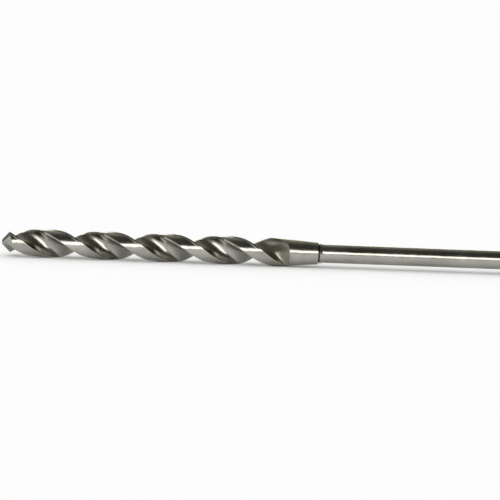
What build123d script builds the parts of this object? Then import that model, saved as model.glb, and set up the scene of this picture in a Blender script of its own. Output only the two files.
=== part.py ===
from build123d import *
from math import asin, atan2, cos, degrees, hypot, pi, radians, sin, sqrt, tan
import os

os.makedirs("parts", exist_ok=True)

# A two-flute twist drill bit: one bar of steel, turned down to a thinner shank behind the fluted head.
# It is built standing on its point, +Z from the point to the shank, and laid down along X at the end.
# Lengths in mm, angles in degrees.

# --- Driving dimensions ---------------------------------------------------------------------------
overall_length = 304.8       # 12 in, point to shank end
head_diameter = 9.525        # 3/8 in, over the margins
shank_diameter = 6.35        # 1/4 in

# Flutes and lands
flute_lead = 41.0            # one turn of the helix: a 36 degree helix angle on this diameter
flute_length = 90.0          # fluted at full depth, from the point
run_out_length = 9.6         # over which the flutes then rise to the surface
web_thickness = 1.35         # the core left between the two flutes
land_angle = 72.0            # from the cutting edge round to the heel
margin_width = 0.8           # the strip left at full diameter behind the cutting edge
body_clearance = 0.18        # depth of the land behind the margin
heel_bevel = 0.7             # set back from the heel, along the land and down the flute

# Point
point_angle = 118.0          # across the two lips
lip_relief = 8.0             # fall of the flank behind its lip
flank_cone_angle = 22.5      # half angle of the cone that each flank is ground to
flank_cone_reach = 9.5       # from the axis to that cone's apex, square to the axis
lip_turn = 34.7              # first lip's outer corner from straight up, as the bit lies

# Neck, shoulder and shank
full_length = 5.0            # kept at full diameter past the full-depth flutes
neck_length = 14.0           # tapering to the shoulder
shoulder_diameter = 7.6      # at the end of the neck
groove_width = 0.5           # groove turned at the shoulder
groove_depth = 0.35          # below the collar behind it
collar_height = 0.375        # step from the shank up to the collar
collar_length = 1.3          # hollow fillet from the collar down to the shank
shank_chamfer = 0.5          # on the free end

# --- Derived sizes --------------------------------------------------------------------------------
overrun = 1.0                # how far a cutter passes beyond the metal it cuts
head_radius = head_diameter / 2
shank_radius = shank_diameter / 2
land_radius = head_radius - body_clearance
web_radius = web_thickness / 2
cutter_radius = head_radius + overrun
half_point = radians(point_angle / 2)
helix_rate = 2 * pi / flute_lead                 # radians of twist per millimetre
lip_rate = helix_rate / tan(half_point)          # the same, per millimetre along the lip
first_turn = radians(lip_turn) + asin(web_radius / head_radius)


def spread(start, end, count):
    """Evenly spaced values from start to end, both included."""
    return [start + (end - start) * i / (count - 1) for i in range(count)]


def turned(point, angle):
    """A plane point turned about the axis by an angle in radians."""
    x, y = point
    return (x * cos(angle) - y * sin(angle), x * sin(angle) + y * cos(angle))


def lifted(point, lift):
    """A plane point moved straight out from the axis."""
    distance = hypot(*point)
    return tuple(value * (distance + lift) / distance for value in point)


def arc_points(centre, radius, start, end, count):
    """Points on an arc between two angles in radians."""
    return [
        (centre[0] + radius * cos(angle), centre[1] + radius * sin(angle))
        for angle in spread(start, end, count)
    ]


# --- Flute section, square to the axis, in the plane of the point ---------------------------------
# The flute's face is the curve that a straight lip draws here as it is carried back along the helix.
# It touches the web, where the floor takes over as an arc that runs out to the heel of the next land.
def face_point(distance):
    """The flute's face at this distance along the lip from its middle."""
    return turned((distance, -web_radius), -lip_rate * distance)


lip_reach = sqrt(head_radius**2 - web_radius**2)
cutter_reach = sqrt(cutter_radius**2 - web_radius**2)
edge_angle = atan2(*reversed(face_point(lip_reach)))
heel_angle = edge_angle - pi + radians(land_angle)
heel = (land_radius * cos(heel_angle), land_radius * sin(heel_angle))
heel_drop = -web_radius - heel[1]
floor_radius = (heel[0] ** 2 + heel_drop**2) / (2 * heel_drop)
floor_centre = (0.0, -web_radius - floor_radius)
floor_angle = atan2(heel[1] - floor_centre[1], heel[0]) - heel_bevel / floor_radius

land_start = edge_angle - pi + margin_width / head_radius
land_end = heel_angle - heel_bevel / land_radius
land_curve = arc_points((0, 0), land_radius, land_start, land_end, 9)
floor_curve = arc_points(floor_centre, floor_radius, floor_angle, pi / 2, 9)
bevel_curve = [land_curve[-1], floor_curve[0]]
face_curve = [face_point(distance) for distance in spread(0.0, lip_reach, 9)]
beyond_curve = [face_point(distance) for distance in spread(lip_reach, cutter_reach, 4)]


def section_curves(curves, height, lift=0.0, half_turn=0.0):
    """Section curves at this height, turned with the helix and lifted out from the axis."""
    twist = helix_rate * height + first_turn + half_turn
    edges = []
    for curve in curves:
        points = [turned(lifted(point, lift), twist) for point in curve]
        knots = spread(0.0, 1.0, len(points))
        edges.append(Edge.make_spline([Vector(x, y, height) for x, y in points], parameters=knots))
    return edges


def rim_arc(height, radius, start, end, half_turn=0.0):
    """An arc about the axis at this height, between two angles of the section."""
    twist = helix_rate * height + first_turn + half_turn
    ends = [
        Vector(radius * cos(angle + twist), radius * sin(angle + twist), height)
        for angle in (start, (start + end) / 2, end)
    ]
    return Edge.make_three_point_arc(*ends)


def lands_section(height):
    """The fluted head cut across: two lands, each with its margin, joined by the web."""
    edges = []
    for half_turn in (0.0, pi):
        margin = rim_arc(height, head_radius, edge_angle - pi, land_start, half_turn)
        curves = section_curves(
            (land_curve, bevel_curve, floor_curve, face_curve), height, 0.0, half_turn
        )
        edges += [margin, Edge.make_line(margin @ 1, curves[0] @ 0), *curves]
    return Wire(edges)


def flute_section(height, lift):
    """What one flute's cutter clears at this height, with its floor raised by lift."""
    curves = section_curves(
        (land_curve, bevel_curve, floor_curve, face_curve, beyond_curve), height, lift
    )
    rim_start = atan2(*reversed(beyond_curve[-1]))
    rim = rim_arc(height, cutter_radius + lift, rim_start, land_start)
    return Wire([Edge.make_line(rim @ 1, curves[0] @ 0), *curves, rim])


def fluted_head():
    """The length fluted at full depth, as one twisted bar that starts ahead of the point."""
    length = flute_length + overrun
    return Solid.extrude_linear_with_rotation(
        lands_section(-overrun), (0, 0, -overrun), (0, 0, length), degrees(helix_rate * length)
    )


def run_out_cutter():
    """What one flute removes where its floor curves up to the surface, as a lifting cutter leaves it."""
    rise = head_radius - web_radius
    reach = run_out_length * sqrt((rise + overrun) / rise)
    sections = []
    for share in spread(0.0, 1.0, 9):
        sections.append(flute_section(flute_length + reach * share, (rise + overrun) * share**2))
    return Solid.make_loft(sections)


# --- Neck, shoulder and shank ---------------------------------------------------------------------
def turned_bar():
    """The bar behind the full-depth flutes: the end of the head, neck, groove, fillet and shank."""
    neck_start = flute_length + full_length
    groove_start = neck_start + neck_length
    groove_end = groove_start + groove_width
    fillet_end = groove_end + collar_length
    collar_radius = shank_radius + collar_height
    groove_radius = collar_radius - groove_depth
    fillet_radius = (collar_height**2 + collar_length**2) / (2 * collar_height)
    half_sweep = asin(collar_length / fillet_radius) / 2
    fillet_middle = (
        shank_radius + fillet_radius * (1 - cos(half_sweep)),
        fillet_end - fillet_radius * sin(half_sweep),
    )
    with BuildPart() as bar:
        with BuildSketch(Plane.XZ):
            with BuildLine():
                Polyline(
                    (0, flute_length),
                    (head_radius, flute_length),
                    (head_radius, neck_start),
                    (shoulder_diameter / 2, groove_start),
                    (groove_radius, groove_start),
                    (groove_radius, groove_end),
                    (collar_radius, groove_end),
                )
                ThreePointArc((collar_radius, groove_end), fillet_middle, (shank_radius, fillet_end))
                Polyline(
                    (shank_radius, fillet_end),
                    (shank_radius, overall_length - shank_chamfer),
                    (shank_radius - shank_chamfer, overall_length),
                    (0, overall_length),
                    (0, flute_length),
                )
            make_face()
        revolve(axis=Axis.Z)
    return bar.part.solid()


# --- Point ----------------------------------------------------------------------------------------
def flank_cone():
    """A cone whose side lies along the first lip and falls away behind it by the relief angle."""
    relief = radians(lip_relief)
    half_cone = radians(flank_cone_angle)
    along = Vector(sin(half_point), 0, cos(half_point))
    inward = Vector(
        -cos(half_point) * cos(relief), -sin(half_point) * sin(relief), sin(half_point) * cos(relief)
    ).normalized()
    axis = along * cos(half_cone) + inward * sin(half_cone)
    apex = Vector(-flank_cone_reach, -web_radius, -flank_cone_reach / tan(half_point))
    height = flank_cone_reach + 3 * head_diameter
    cone = Solid.make_cone(0, height * tan(half_cone), height, Plane(apex, z_dir=axis))
    return cone.rotate(Axis.Z, degrees(first_turn))


def point_chips():
    """What is ground away round the two flanks, which meet in the chisel edge."""
    end = Solid.make_cylinder(cutter_radius, head_diameter, Plane((0, 0, -overrun)))
    cone = flank_cone()
    return end - (cone & cone.rotate(Axis.Z, 180))


# --- The bit --------------------------------------------------------------------------------------
cutter = run_out_cutter()
head = fluted_head() - point_chips()
rear = turned_bar() - cutter - cutter.rotate(Axis.Z, 180)
bit = head + rear

# Laid on its lands, with the middle of its length over the origin.
laid = Plane((-overall_length / 2, 0, head_radius), x_dir=(0, 0, 1), z_dir=(1, 0, 0))
export_step(laid * bit.solid(), "parts/drill_bit.step")
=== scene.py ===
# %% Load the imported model
import math

import bpy
from mathutils import Matrix, Vector


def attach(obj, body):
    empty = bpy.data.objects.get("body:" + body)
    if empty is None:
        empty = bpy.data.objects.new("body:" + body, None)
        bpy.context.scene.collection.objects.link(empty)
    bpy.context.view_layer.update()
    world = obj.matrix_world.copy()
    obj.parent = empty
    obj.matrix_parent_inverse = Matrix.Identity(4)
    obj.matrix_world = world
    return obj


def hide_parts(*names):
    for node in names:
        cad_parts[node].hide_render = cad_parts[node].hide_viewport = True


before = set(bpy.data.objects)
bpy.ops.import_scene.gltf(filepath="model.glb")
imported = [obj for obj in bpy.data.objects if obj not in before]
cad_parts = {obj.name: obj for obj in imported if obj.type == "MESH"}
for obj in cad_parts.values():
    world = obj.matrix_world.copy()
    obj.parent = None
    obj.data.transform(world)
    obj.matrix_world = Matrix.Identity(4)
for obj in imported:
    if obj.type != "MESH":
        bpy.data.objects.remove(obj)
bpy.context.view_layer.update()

bit_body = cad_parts["drill_bit"]

# %% [markdown]
# A twist drill bit is one bar of steel. A machinist turns the bar, lets a cutter follow a helix
# to leave two flutes, and grinds the end to a point. The mesh could be built ring by ring from
# the finished section, but then the point and the ends of the flutes would have to be worked out
# by hand. This lesson keeps the machinist's order instead: a turned bar, two helical cutters
# taken away from it, then the waste round the point. Every size is the one that the solid model
# uses, in metres.

# %% Sizes of the bar
mm = 0.001
overall_length = 304.8 * mm
head_radius = 9.525 * mm / 2
shank_radius = 6.35 * mm / 2
flute_length = 90.0 * mm
full_length = 5.0 * mm
neck_length = 14.0 * mm
shoulder_radius = 7.6 * mm / 2
groove_width = 0.5 * mm
groove_depth = 0.35 * mm
collar_height = 0.375 * mm
collar_length = 1.3 * mm
shank_chamfer = 0.5 * mm

# The bit lies on the floor along X, its tip on the left.
start_x = -overall_length / 2
axis_z = head_radius
print("bar from x", start_x, "with its axis at z", axis_z)

# %% [markdown]
# The bar's outline is what the turner cuts: the head at full diameter, a neck that tapers to a
# shoulder, a narrow groove, a hollow fillet down to the shank, and a chamfer at the far end. It
# could be drawn as a curve. Listed as stations along the axis, each with its radius, it is easier
# to read and to change. The fillet is an arc that leaves the collar's edge and meets the shank
# smoothly.

# %% The turner's profile
fillet_steps = 10


def spread(start, end, count):
    """Evenly spaced values from start to end, both included."""
    return [start + (end - start) * i / (count - 1) for i in range(count)]


neck_start = flute_length + full_length
groove_start = neck_start + neck_length
groove_end = groove_start + groove_width
fillet_end = groove_end + collar_length
collar_radius = shank_radius + collar_height
groove_radius = collar_radius - groove_depth
fillet_radius = (collar_height**2 + collar_length**2) / (2 * collar_height)
fillet_sweep = math.asin(collar_length / fillet_radius)

profile = [(neck_start, head_radius), (groove_start, shoulder_radius)]
profile += [(groove_start, groove_radius), (groove_end, groove_radius)]
for angle in spread(fillet_sweep, 0, fillet_steps):
    station = fillet_end - fillet_radius * math.sin(angle)
    profile.append((station, shank_radius + fillet_radius * (1 - math.cos(angle))))
profile.append((overall_length - shank_chamfer, shank_radius))
profile.append((overall_length, shank_radius - shank_chamfer))
print("profile has", len(profile), "stations")

# %% [markdown]
# Spinning the outline would make the bar, and so would a stack of cylinders, which leaves inner
# walls. Here one disc is extruded along X, and at each station its end face is scaled about the
# axis. The whole bar, groove and fillet with it, is then a single closed skin, which the cuts
# need.

# %% Turned bar
bar_sides = 192


def start_piece(name):
    """Names the primitive that was just added and returns it."""
    piece = bpy.context.object
    piece.name = piece.data.name = name
    return piece


bpy.ops.object.select_all(action="DESELECT")
bpy.ops.mesh.primitive_circle_add(
    vertices=bar_sides, radius=head_radius, fill_type="NGON",
    location=(start_x, 0, axis_z), rotation=(0, math.radians(90), 0),
)
bar = start_piece("bar")
bpy.ops.object.transform_apply(location=True, rotation=True, scale=True)

bpy.ops.object.mode_set(mode="EDIT")
bpy.ops.mesh.select_all(action="SELECT")
at, radius = 0.0, head_radius
for station, new_radius in profile:
    bpy.ops.mesh.extrude_region_move(TRANSFORM_OT_translate={"value": (station - at, 0, 0)})
    share = new_radius / radius
    bpy.ops.transform.resize(
        value=(1, share, share), center_override=(start_x + station, 0, axis_z)
    )
    at, radius = station, new_radius
bpy.ops.mesh.select_all(action="SELECT")
bpy.ops.mesh.normals_make_consistent(inside=False)
bpy.ops.object.mode_set(mode="OBJECT")
print("bar", len(bar.data.polygons), "faces")

# %% [markdown]
# Seen along the axis, the space that one flute takes is a rounded hook. Its forward side is given
# by the point: a straight lip, carried back along the helix, draws the flute's face, so the
# cutting edge stays straight. Where that curve touches the web, the thin core between the flutes,
# an arc takes over and runs out to the heel of the next land. A circle would be simpler, but its
# lips would bend.

# %% Sizes of the flutes
flute_lead = 41.0 * mm
web_radius = 1.35 * mm / 2
land_angle = math.radians(72)
margin_width = 0.8 * mm
body_clearance = 0.18 * mm
heel_bevel = 0.7 * mm
half_point = math.radians(118) / 2
overrun = 1.0 * mm

land_radius = head_radius - body_clearance
cutter_radius = head_radius + overrun
helix_rate = 2 * math.pi / flute_lead
lip_rate = helix_rate / math.tan(half_point)
helix_angle = math.degrees(math.atan(helix_rate * head_radius))
print("helix angle", round(helix_angle, 1), "degrees")


# %% The flute's face
def turned(point, angle):
    """A plane point turned about the axis."""
    y, z = point
    return (y * math.cos(angle) - z * math.sin(angle), y * math.sin(angle) + z * math.cos(angle))


def face_point(distance):
    """The flute's face at this distance along the lip from its middle."""
    return turned((distance, -web_radius), -lip_rate * distance)


lip_reach = math.sqrt(head_radius**2 - web_radius**2)
edge_angle = math.atan2(*reversed(face_point(lip_reach)))
print("cutting edge at", round(math.degrees(edge_angle), 1), "degrees in the section")

# %% [markdown]
# The heel is where the flute meets the back of the next land. The arc's circle touches the web
# from below and passes through the heel. The land is cut back a little behind a narrow margin,
# which is all that rubs in the hole, and the heel's corner is bevelled. A bevel after the cuts
# would have to follow the helix round the bar, so it is part of the section.

# %% The heel and the flute's floor
heel_angle = edge_angle - math.pi + land_angle
heel = (land_radius * math.cos(heel_angle), land_radius * math.sin(heel_angle))
heel_drop = -web_radius - heel[1]
floor_radius = (heel[0] ** 2 + heel_drop**2) / (2 * heel_drop)
floor_centre = (0.0, -web_radius - floor_radius)
floor_angle = math.atan2(heel[1] - floor_centre[1], heel[0]) - heel_bevel / floor_radius
land_start = edge_angle - math.pi + margin_width / head_radius
land_end = heel_angle - heel_bevel / land_radius
print("flute floor's radius", round(floor_radius / mm, 2), "mm")

# %% Flute section
land_count, floor_count, face_count, beyond_count, rim_count = 22, 30, 34, 4, 30
bevel_shares = (0.25, 0.5, 0.75)


def arc_points(centre, radius, start, end, count):
    """Points on an arc between two angles."""
    return [
        (centre[0] + radius * math.cos(angle), centre[1] + radius * math.sin(angle))
        for angle in spread(start, end, count)
    ]


cutter_reach = math.sqrt(cutter_radius**2 - web_radius**2)
land_curve = arc_points((0, 0), land_radius, land_start, land_end, land_count)
floor_curve = arc_points(floor_centre, floor_radius, floor_angle, math.pi / 2, floor_count)
bevel_curve = [
    tuple(a + (b - a) * share for a, b in zip(land_curve[-1], floor_curve[0]))
    for share in bevel_shares
]
face_curve = [face_point(distance) for distance in spread(0.0, lip_reach, face_count)[1:]]
beyond_curve = [
    face_point(distance) for distance in spread(lip_reach, cutter_reach, beyond_count)[1:]
]
inner = land_curve + bevel_curve + floor_curve + face_curve + beyond_curve
rim_start = math.atan2(*reversed(inner[-1]))
rim = arc_points((0, 0), cutter_radius, rim_start, land_start, rim_count)[1:]
section = inner + rim
print("flute section has", len(section), "points")

# %% [markdown]
# The real cutter stays in place while the bar turns and moves past it. A section swept along a
# curve would tilt with the curve. A Screw modifier does what the machine does: it turns the
# outline about X while it moves along X, which is the helix. Rings past the full-depth length are
# then lifted away from the axis, as the cutter lifts out of the bar, and that leaves the rounded
# run-out. With both ends filled it is a solid tool. The second flute's tool starts half a turn
# on.

# %% Sizes of the cutters
lip_turn = math.radians(34.7)
run_out_length = 9.6 * mm
ring_count = 380

first_turn = lip_turn + math.asin(web_radius / head_radius)
rise = head_radius - web_radius
reach = run_out_length * math.sqrt((rise + overrun) / rise)
cutter_length = overrun + flute_length + reach
print("each cutter is", round(cutter_length / mm, 1), "mm long")


# %% Flute cutters
def apply_modifier(piece, kind, **settings):
    """Adds a modifier, sets it and applies it."""
    bpy.ops.object.select_all(action="DESELECT")
    bpy.context.view_layer.objects.active = piece
    piece.select_set(True)
    modifier = piece.modifiers.new(kind.title(), kind)
    for setting, value in settings.items():
        setattr(modifier, setting, value)
    bpy.ops.object.modifier_apply(modifier=modifier.name)


def flute_cutter(name, half_turn):
    """One flute's cutter, from ahead of the point to where it has left the bar."""
    bpy.ops.object.select_all(action="DESELECT")
    bpy.ops.mesh.primitive_circle_add(
        vertices=len(section), radius=cutter_radius, fill_type="NOTHING"
    )
    cutter = start_piece(name)
    start_turn = -helix_rate * overrun + first_turn + half_turn
    for vertex, point in zip(cutter.data.vertices, section):
        up, front = turned(point, start_turn)
        vertex.co = (0, -front, up)
    apply_modifier(
        cutter, "SCREW", axis="X", angle=helix_rate * cutter_length, screw_offset=cutter_length,
        steps=ring_count, render_steps=ring_count, use_smooth_shade=True,
    )
    for vertex in cutter.data.vertices:
        x, y, z = vertex.co
        past = max(x - overrun - flute_length, 0.0) / reach
        stretch = 1 + (rise + overrun) * past**2 / math.hypot(y, z)
        vertex.co = (start_x + x - overrun, y * stretch, axis_z + z * stretch)
    bpy.ops.object.mode_set(mode="EDIT")
    bpy.ops.mesh.select_all(action="SELECT")
    bpy.ops.mesh.fill_holes(sides=0)
    bpy.ops.mesh.select_all(action="SELECT")
    bpy.ops.mesh.normals_make_consistent(inside=False)
    bpy.ops.object.mode_set(mode="OBJECT")
    return cutter


flute_tools = [flute_cutter("flute_cutter_1", 0.0), flute_cutter("flute_cutter_2", math.pi)]
print("each cutter", len(flute_tools[0].data.polygons), "faces")

# %% [markdown]
# The point has two flanks, one behind each lip. Flat cuts would look right from far away, but a
# real flank is part of a cone, because the bit swings against the wheel. The cone's side lies
# along the lip and falls away behind it by the relief angle, so only the lip touches the work.
# The cones are made as primitives. The metal that lies inside both of them stays, and what is
# outside either is waste.

# %% Grinding cones
lip_relief = math.radians(8)
flank_cone_angle = math.radians(22.5)
flank_cone_reach = 9.5 * mm
cone_overshoot = 6 * head_radius
cone_sides = 360


def flank_cone(name, half_turn):
    """The grinding cone of one lip."""
    along = Vector((math.sin(half_point), 0, math.cos(half_point)))
    inward = Vector((
        -math.cos(half_point) * math.cos(lip_relief),
        -math.sin(half_point) * math.sin(lip_relief),
        math.sin(half_point) * math.cos(lip_relief),
    )).normalized()
    axis = along * math.cos(flank_cone_angle) + inward * math.sin(flank_cone_angle)
    apex = Vector((-flank_cone_reach, -web_radius, -flank_cone_reach / math.tan(half_point)))
    height = flank_cone_reach + cone_overshoot
    # Standing on its point, the bit has its own axis on Z. Laid down, Z becomes X, X becomes Z
    # and Y turns over.
    lay = Matrix(((0, 0, 1), (0, -1, 0), (1, 0, 0)))
    spin = Matrix.Rotation(first_turn + half_turn, 3, "Z")
    way = lay @ spin @ axis
    middle = lay @ spin @ (apex + axis * height / 2)
    bpy.ops.object.select_all(action="DESELECT")
    bpy.ops.mesh.primitive_cone_add(
        vertices=cone_sides, radius1=height * math.tan(flank_cone_angle), radius2=0, depth=height,
        location=middle + Vector((start_x, 0, axis_z)),
        rotation=(-way).to_track_quat("Z", "Y").to_euler(),
    )
    cone = start_piece(name)
    bpy.ops.object.transform_apply(location=True, rotation=True, scale=True)
    return cone


cones = [flank_cone("flank_cone_1", 0.0), flank_cone("flank_cone_2", math.pi)]
print("made", [cone.name for cone in cones])

# %% Point waste
waste_sides = 96


def combine(piece, tool, operation):
    """Cuts a piece, or keeps what it shares with the tool, then removes the tool."""
    apply_modifier(piece, "BOOLEAN", object=tool, operation=operation, solver="MANIFOLD")
    bpy.data.objects.remove(tool)


bpy.ops.object.select_all(action="DESELECT")
bpy.ops.mesh.primitive_cylinder_add(
    vertices=waste_sides, radius=cutter_radius, depth=2 * head_radius,
    location=(start_x - overrun + head_radius, 0, axis_z), rotation=(0, math.radians(90), 0),
)
waste = start_piece("point_waste")
bpy.ops.object.transform_apply(location=True, rotation=True, scale=True)
combine(cones[0], cones[1], "INTERSECT")
combine(waste, cones[0], "DIFFERENCE")
print("point waste", len(waste.data.polygons), "faces")

# %% [markdown]
# All the waste is now solid tools, and the bar meets them one after the other, as in the
# workshop. The Exact solver would make the same cuts, only slower. The Manifold solver needs
# closed meshes, which these are, and leaves a closed one. Smooth shading by angle then keeps the
# lands and the flutes even and leaves every cut edge sharp.

# %% Cut the flutes, then the point
smooth_angle = math.radians(24)
for tool in flute_tools:
    combine(bar, tool, "DIFFERENCE")
combine(bar, waste, "DIFFERENCE")
bar.name = bar.data.name = "ground_bit"
bpy.ops.object.select_all(action="DESELECT")
bpy.context.view_layer.objects.active = bar
bar.select_set(True)
bpy.ops.object.shade_smooth_by_angle(angle=smooth_angle)
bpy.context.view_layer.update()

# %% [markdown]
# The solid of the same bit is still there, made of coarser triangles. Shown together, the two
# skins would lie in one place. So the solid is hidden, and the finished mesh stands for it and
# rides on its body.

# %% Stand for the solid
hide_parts("drill_bit")
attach(bar, "root")
print(bar.name, "stands for drill_bit")

# %% [markdown]
# Bare high-speed steel is a mirror with a grain. Its colour is almost neutral, a little warm, and
# what tells the eye where each surface came from is the grain. An image of steel would need a
# flat layout with seams. Patterns made of numbers can follow the machine instead, so the material
# starts from what a machinist would ask: how far along the bar a point is, how far round it, and
# how far from its axis.

# %% Helpers for shader nodes
def feed(tree, value, socket):
    """Gives a socket a link or a plain value."""
    if hasattr(value, "links"):
        tree.links.new(value, socket)
    else:
        socket.default_value = value


def node(tree, kind, **inputs):
    """Adds a shader node and feeds its inputs by name."""
    made = tree.nodes.new(kind)
    for name, value in inputs.items():
        feed(tree, value, made.inputs[name.replace("_", " ")])
    return made


def maths(tree, operation, *values):
    """The result of a Math node."""
    made = tree.nodes.new("ShaderNodeMath")
    made.operation = operation
    for socket, value in zip(made.inputs, values):
        feed(tree, value, socket)
    return made.outputs[0]


def object_place(tree):
    """A surface point's place on its own object, whole and split in three."""
    whole = tree.nodes.new("ShaderNodeTexCoord").outputs["Object"]
    return whole, node(tree, "ShaderNodeSeparateXYZ", Vector=whole).outputs


print("shader helpers:", feed.__name__, node.__name__, maths.__name__, object_place.__name__)

# %% Ground steel and its coordinates
steel = bpy.data.materials.new("ground_steel")
steel.use_nodes = True
tree = steel.node_tree
shader = tree.nodes["Principled BSDF"]
shader.inputs["Metallic"].default_value = 1.0

place, (x, y, z) = object_place(tree)
up = maths(tree, "SUBTRACT", z, axis_z)
turn = maths(tree, "ARCTAN2", maths(tree, "MULTIPLY", y, -1.0), up)
squares = maths(tree, "ADD", maths(tree, "MULTIPLY", y, y), maths(tree, "MULTIPLY", up, up))
distance = maths(tree, "SQRT", squares)
print("steel starts from", len(tree.nodes), "nodes")

# %% [markdown]
# On the neck and the shank a wheel met a turning bar, and that leaves fine rings. A wave texture
# would make them too regular. They are a noise that changes quickly along X and hardly at all
# round the bar.

# %% Rings round the bar
ring_rate = 5200.0
ring_drift = 160.0
ring_place = node(
    tree, "ShaderNodeCombineXYZ",
    X=maths(tree, "MULTIPLY", x, ring_rate),
    Y=maths(tree, "MULTIPLY", y, ring_drift),
    Z=maths(tree, "MULTIPLY", z, ring_drift),
)
rings = node(
    tree, "ShaderNodeTexNoise",
    Vector=ring_place.outputs[0], Scale=1.0, Detail=3.0, Roughness=0.6,
)
print("a ring about every", round(1 / ring_rate / mm, 2), "mm")

# %% [markdown]
# In the flutes the polishing lines run along the helix. Taking the helix away from the turn
# unwinds it, so that a line along the flute has one and the same turn. The turn itself could
# carry the noise, but it jumps once round the bar and would leave a seam. Its cosine and sine
# have none.

# %% Lines along the flutes
line_rate = 22.0
line_drift = 60.0
unwound = maths(tree, "SUBTRACT", turn, maths(tree, "MULTIPLY", x, helix_rate))
line_place = node(
    tree, "ShaderNodeCombineXYZ",
    X=maths(tree, "MULTIPLY", maths(tree, "COSINE", unwound), line_rate),
    Y=maths(tree, "MULTIPLY", maths(tree, "SINE", unwound), line_rate),
    Z=maths(tree, "MULTIPLY", x, line_drift),
)
lines = node(
    tree, "ShaderNodeTexNoise",
    Vector=line_place.outputs[0], Scale=1.0, Detail=3.0, Roughness=0.65,
)
print("about", round(2 * math.pi * line_rate), "lines round the bit")

# %% [markdown]
# The two grains need to know which surface is which. A second material on chosen faces would do,
# but the depth says it too: flute is whatever lies deeper than the lands, or than the neck's
# taper where that is lower, ahead of the end of the run-outs.

# %% Where the flutes are
skin_allowance = 0.06 * mm


def mixed(tree, kind, share, first, second):
    """Goes from first to second by a share; kind is FLOAT or RGBA."""
    made = tree.nodes.new("ShaderNodeMix")
    made.data_type = kind
    for name, value in (("Factor", share), ("A", first), ("B", second)):
        feed(tree, value, made.inputs[name])
    return made.outputs["Result"]


taper = (head_radius - shoulder_radius) / neck_length
along_neck = maths(tree, "SUBTRACT", x, start_x + neck_start)
neck_skin = maths(tree, "SUBTRACT", head_radius, maths(tree, "MULTIPLY", along_neck, taper))
skin = maths(tree, "MINIMUM", neck_skin, land_radius)
inside = maths(tree, "LESS_THAN", distance, maths(tree, "SUBTRACT", skin, skin_allowance))
ahead = maths(tree, "LESS_THAN", x, start_x + flute_length + run_out_length)
in_flute = maths(tree, "MULTIPLY", inside, ahead)
grain = mixed(tree, "FLOAT", in_flute, rings.outputs["Fac"], lines.outputs["Fac"])
print("the neck narrows by", round(taper, 4), "of its length on each side")

# %% [markdown]
# Three reliefs lie on one another. Worn edges come first: a Bevel node rounds the light at a
# corner, where a modelled bevel on every cut edge would cost many faces. Slight waves come next,
# since no ground bar is optically true, and they let a highlight's border wander. The grain is
# the shallowest.

# %% Relief of edges, waves and grain
edge_radius, wave_depth, grain_depth = 0.2 * mm, 0.12 * mm, 0.02 * mm
edge_samples = 6
worn_edge = node(tree, "ShaderNodeBevel", Radius=edge_radius)
worn_edge.samples = edge_samples
waves = node(tree, "ShaderNodeTexNoise", Vector=place, Scale=420.0, Detail=2.0, Roughness=0.5)
waviness = node(
    tree, "ShaderNodeBump", Strength=0.5, Distance=wave_depth,
    Height=waves.outputs["Fac"], Normal=worn_edge.outputs["Normal"],
)
relief = node(
    tree, "ShaderNodeBump", Strength=0.22, Distance=grain_depth,
    Height=grain, Normal=waviness.outputs["Normal"],
)
feed(tree, relief.outputs["Normal"], shader.inputs["Normal"])
print("worn edges", edge_radius, "waves", wave_depth, "grain", grain_depth)

# %% [markdown]
# Oil and hands leave smears: slow changes in gloss and in tone. Two noises could drive them
# apart, but a smear that is duller is also a little paler, so one drives both. The flutes, which
# the wheel reaches less well, are a little coarser.

# %% Smears
smear_low, smear_high = 0.3, 0.7
most_gloss, least_gloss = 0.16, 0.26
dark_steel, pale_steel = (0.32, 0.312, 0.275, 1), (0.44, 0.433, 0.395, 1)
flute_coarseness = 0.02
smears = node(tree, "ShaderNodeTexNoise", Vector=place, Scale=140.0, Detail=4.0, Roughness=0.55)
gloss = node(
    tree, "ShaderNodeMapRange", Value=smears.outputs["Fac"],
    From_Min=smear_low, From_Max=smear_high, To_Min=most_gloss, To_Max=least_gloss,
)
extra = maths(tree, "MULTIPLY", in_flute, flute_coarseness)
coarser = maths(tree, "ADD", gloss.outputs["Result"], extra)
tone = node(tree, "ShaderNodeValToRGB", Fac=smears.outputs["Fac"])
dark_stop, pale_stop = tone.color_ramp.elements
dark_stop.position, dark_stop.color = smear_low, dark_steel
pale_stop.position, pale_stop.color = smear_high, pale_steel
print("steel's roughness from", most_gloss, "to", least_gloss + flute_coarseness)

# %% [markdown]
# Where the cutter lifts out of the bar, the surface is left as milled: duller and darker than the
# polished flute. A second material would change along a hard line. A soft step along X, kept to
# the flutes, lets one finish pass into the other.

# %% Run-outs as milled
milled_steel = (0.29, 0.28, 0.225, 1)
milled_roughness = 0.14
milled_from = start_x + flute_length - 5 * mm
milled_to = start_x + flute_length + 1 * mm


def soft_step(tree, value, zero, one):
    """0 at one value and 1 at another, larger or smaller, with soft shoulders between."""
    made = node(tree, "ShaderNodeMapRange", Value=value, From_Min=zero, From_Max=one)
    made.interpolation_type = "SMOOTHSTEP"
    return made.outputs["Result"]


lifted_out = maths(tree, "MULTIPLY", soft_step(tree, x, milled_from, milled_to), in_flute)
dulled = mixed(tree, "RGBA", lifted_out, tone.outputs["Color"], milled_steel)
duller = maths(tree, "ADD", coarser, maths(tree, "MULTIPLY", lifted_out, milled_roughness))
feed(tree, duller, shader.inputs["Roughness"])
print("milled finish between x", milled_from, "and", milled_to)
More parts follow.
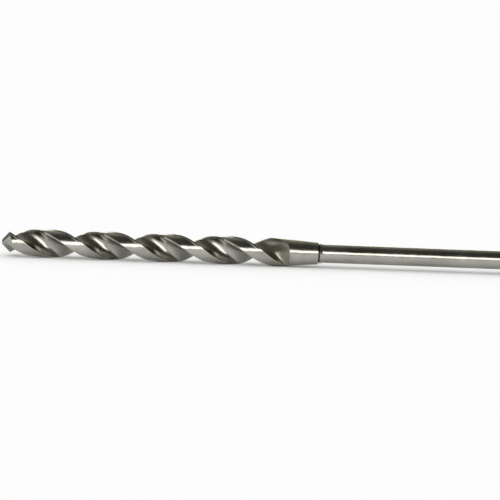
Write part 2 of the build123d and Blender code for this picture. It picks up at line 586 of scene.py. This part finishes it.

# %% [markdown]
# The bottom of the shoulder's groove is painted near black. This is partly painted shade,
# standing for the shade in the deep, narrow groove, and partly black oxide, which no wheel
# reaches. It could be a thin ring of its own, but the real one is only a colour, and two
# comparisons along X find it. The finished steel then goes on the mesh and on the solid behind
# it.

# %% Black groove, and the steel on the bit
# Near-black groove colour: partly painted shade of the groove, partly black oxide.
oxide_and_painted_shade = (0.012, 0.011, 0.010, 1)
groove_allowance = 0.02 * mm
past_start = maths(tree, "GREATER_THAN", x, start_x + groove_start - groove_allowance)
before_end = maths(tree, "LESS_THAN", x, start_x + groove_end + groove_allowance)
in_groove = maths(tree, "MULTIPLY", past_start, before_end)
feed(tree, mixed(tree, "RGBA", in_groove, dulled, oxide_and_painted_shade), shader.inputs["Base Color"])
for shown in (bar, bit_body):
    shown.data.materials.clear()
    shown.data.materials.append(steel)
print("steel has", len(tree.nodes), "nodes")

# %% [markdown]
# The bit lies on a sheet of white paper. A curved backdrop would do as well, but a wide flat
# sheet looks the same from every side. It is matt, so that it keeps the soft shadow and no gleam
# of its own, and the polished steel's lower side shows it.

# %% Floor
floor_size = 6
white = (0.985, 0.985, 0.985, 1)
bpy.ops.object.select_all(action="DESELECT")
bpy.ops.mesh.primitive_plane_add(size=floor_size, location=(0, 0, 0))
floor = start_piece("floor")
paper = bpy.data.materials.new("white_paper")
paper.use_nodes = True
paper_shader = paper.node_tree.nodes["Principled BSDF"]
paper_shader.inputs["Base Color"].default_value = white
paper_shader.inputs["Roughness"].default_value = 1.0
paper_shader.inputs["Specular IOR Level"].default_value = 0.0
floor.data.materials.append(paper)
print("floor", floor_size, "m wide")

# %% [markdown]
# Polished steel shows whatever stands round it, and an even white room would make it look like
# chalk. So a tent of grey cloth stands round the bit, as a maker of tool catalogues would hang
# one. A few flat cards would do the same, with gaps between them. An open tube along the bit has
# none. Only reflections see it, so it throws no shadow and the floor stays evenly lit.

# %% Light tent
tent_radius = 2.0
tent_length = 12
tent_sides = 256
tent_x = -0.06
bpy.ops.object.select_all(action="DESELECT")
bpy.ops.mesh.primitive_cylinder_add(
    vertices=tent_sides, radius=tent_radius, depth=tent_length, end_fill_type="NOTHING",
    location=(tent_x, 0, axis_z), rotation=(0, math.radians(90), 0),
)
tent = start_piece("light_tent")
tent.visible_camera = tent.visible_diffuse = tent.visible_shadow = False
tent.visible_transmission = tent.visible_volume_scatter = False
print("tent", tent_length, "m long and", 2 * tent_radius, "m across")

# %% [markdown]
# The cloth shines by itself, in a tone that depends on where it hangs. Lamps behind real cloth
# would give the same, after much trying. Two angles say where a spot of the cloth is, both in
# degrees as the bit sees them: how high it is above the front, and how far aside along the bar.

# %% Directions on the tent
cloth = bpy.data.materials.new("tent_cloth")
cloth.use_nodes = True
tree = cloth.node_tree
tree.nodes.clear()
shine = tree.nodes.new("ShaderNodeEmission")
node(tree, "ShaderNodeOutputMaterial", Surface=shine.outputs[0])
tent.data.materials.append(cloth)

# The tent was turned to lie along the bar: its own axes point down, back and to the right.
down, behind, along = object_place(tree)[1]
above = maths(tree, "MULTIPLY", down, -1.0)
front = maths(tree, "MULTIPLY", behind, -1.0)
height = maths(tree, "DEGREES", maths(tree, "ARCTAN2", above, front))
slope = maths(tree, "DIVIDE", along, tent_radius)
aside = maths(tree, "DEGREES", maths(tree, "ARCTANGENT", slope))
print("tent directions take", len(tree.nodes), "nodes")

# %% [markdown]
# From front to back the cloth goes from dark grey, over a paler roof, to a second light low
# behind, so that a round surface has a bright line between darker ones from behind too. Several
# cloths would need several materials, and a colour ramp holds all the tones in one place. They
# lean as the flutes do.

# %% The cloth's own tones
cloth_lean = 0.6
cloth_tint = (1, 0.99, 0.85)
# Each tone has its height in degrees and its level.
stops = [
    (0, 0.06), (60, 0.06), (95, 0.10), (118, 0.32), (138, 0.45), (148, 0.10),
    (155, 0.10), (159, 2.8), (169, 2.8), (173, 0.10), (180, 0.10),
]
leaning = maths(tree, "SUBTRACT", height, maths(tree, "MULTIPLY", aside, cloth_lean))
from_below = maths(tree, "ADD", leaning, 180.0)
panels = node(tree, "ShaderNodeValToRGB", Fac=maths(tree, "DIVIDE", from_below, 360.0))
ramp = panels.color_ramp
for index, (degrees, level) in enumerate(stops):
    share = (degrees + 180) / 360
    stop = ramp.elements[index] if index < 2 else ramp.elements.new(share)
    stop.position, stop.color = share, (*(level * part for part in cloth_tint), 1)
print("cloth has", len(ramp.elements), "tones")

# %% [markdown]
# In front hangs the main light, one long soft strip. A plain lamp would give this metal only a
# few dots, and a strip draws a line along the whole bar. Beside the shank it is level. On the
# left it sinks and grows wider, so that the flutes catch it as a band. Its sides and its ends are
# soft steps, which keeps hard-edged shapes out of the steel.

# %% Strip light
strip_height, strip_fall, strip_spread = 18.5, 0.6, 0.038
strip_edge, strip_core = 13.0, 6.0
strip_light = (4.0, 3.95, 3.78, 1)

left = maths(tree, "MINIMUM", aside, 0.0)
over_strip = maths(tree, "SUBTRACT", height, strip_height)
slant = maths(tree, "SUBTRACT", over_strip, maths(tree, "MULTIPLY", left, strip_fall))
width = maths(tree, "SUBTRACT", 1.0, maths(tree, "MULTIPLY", left, strip_spread))
away = maths(tree, "ABSOLUTE", maths(tree, "DIVIDE", slant, width))
strip = soft_step(tree, away, strip_edge, strip_core)
right_end = soft_step(tree, aside, 26.0, 14.0)
top_end = soft_step(tree, height, 66.0, 40.0)
left_end = soft_step(tree, aside, -50.0, -34.0)
for end in (right_end, top_end, left_end):
    strip = maths(tree, "MULTIPLY", strip, end)
lit = mixed(tree, "RGBA", strip, panels.outputs["Color"], strip_light)
feed(tree, lit, shine.inputs["Color"])
print("tent cloth has", len(tree.nodes), "nodes")

# %% [markdown]
# The even white world lights the floor and leaves the soft shadow under the bit. A lamp overhead
# would light it as well, but with a harder shadow and a bright spot in the steel.

# %% World
world = bpy.data.worlds.new("studio")
bpy.context.scene.world = world
world.use_nodes = True
world.node_tree.nodes["Background"].inputs["Color"].default_value = (1, 1, 1, 1)
world.node_tree.nodes["Background"].inputs["Strength"].default_value = 1.0
print("world", world.name)

# %% [markdown]
# A long lens from far away keeps the bar's two edges almost parallel. The camera stands a little
# above the floor and is rolled a little, so that the bit falls away to the right, where the shank
# leaves the frame. A Track To constraint could aim it. Three directions in a matrix say the same
# and hold the roll too.

# %% Camera
camera_height = math.radians(8)
roll = math.radians(2.136)
camera_distance, sensor, frame_width = 1.5, 36.0, 171.95 * mm
aim_along, aim_above = 85.5 * mm, 0.3 * mm
sight = 20

bpy.ops.object.camera_add()
camera = bpy.context.object
bpy.context.scene.camera = camera
side = Vector((1, 0, 0))
raised = Vector((0, math.sin(camera_height), math.cos(camera_height)))
right = side * math.cos(roll) + raised * math.sin(roll)
upright = raised * math.cos(roll) - side * math.sin(roll)
back = right.cross(upright)
aim = Vector((start_x + aim_along, 0, axis_z)) + upright * aim_above
placing = Matrix((right, upright, back)).transposed().to_4x4()
placing.translation = aim + back * camera_distance
camera.matrix_world = placing
camera.data.sensor_width = sensor
camera.data.lens = sensor * camera_distance / frame_width
camera.data.clip_end = sight
bpy.context.scene.view_settings.view_transform = "Standard"
print("lens", round(camera.data.lens), "mm")

# %% [markdown]

# %% End of the scene
print("scene built")
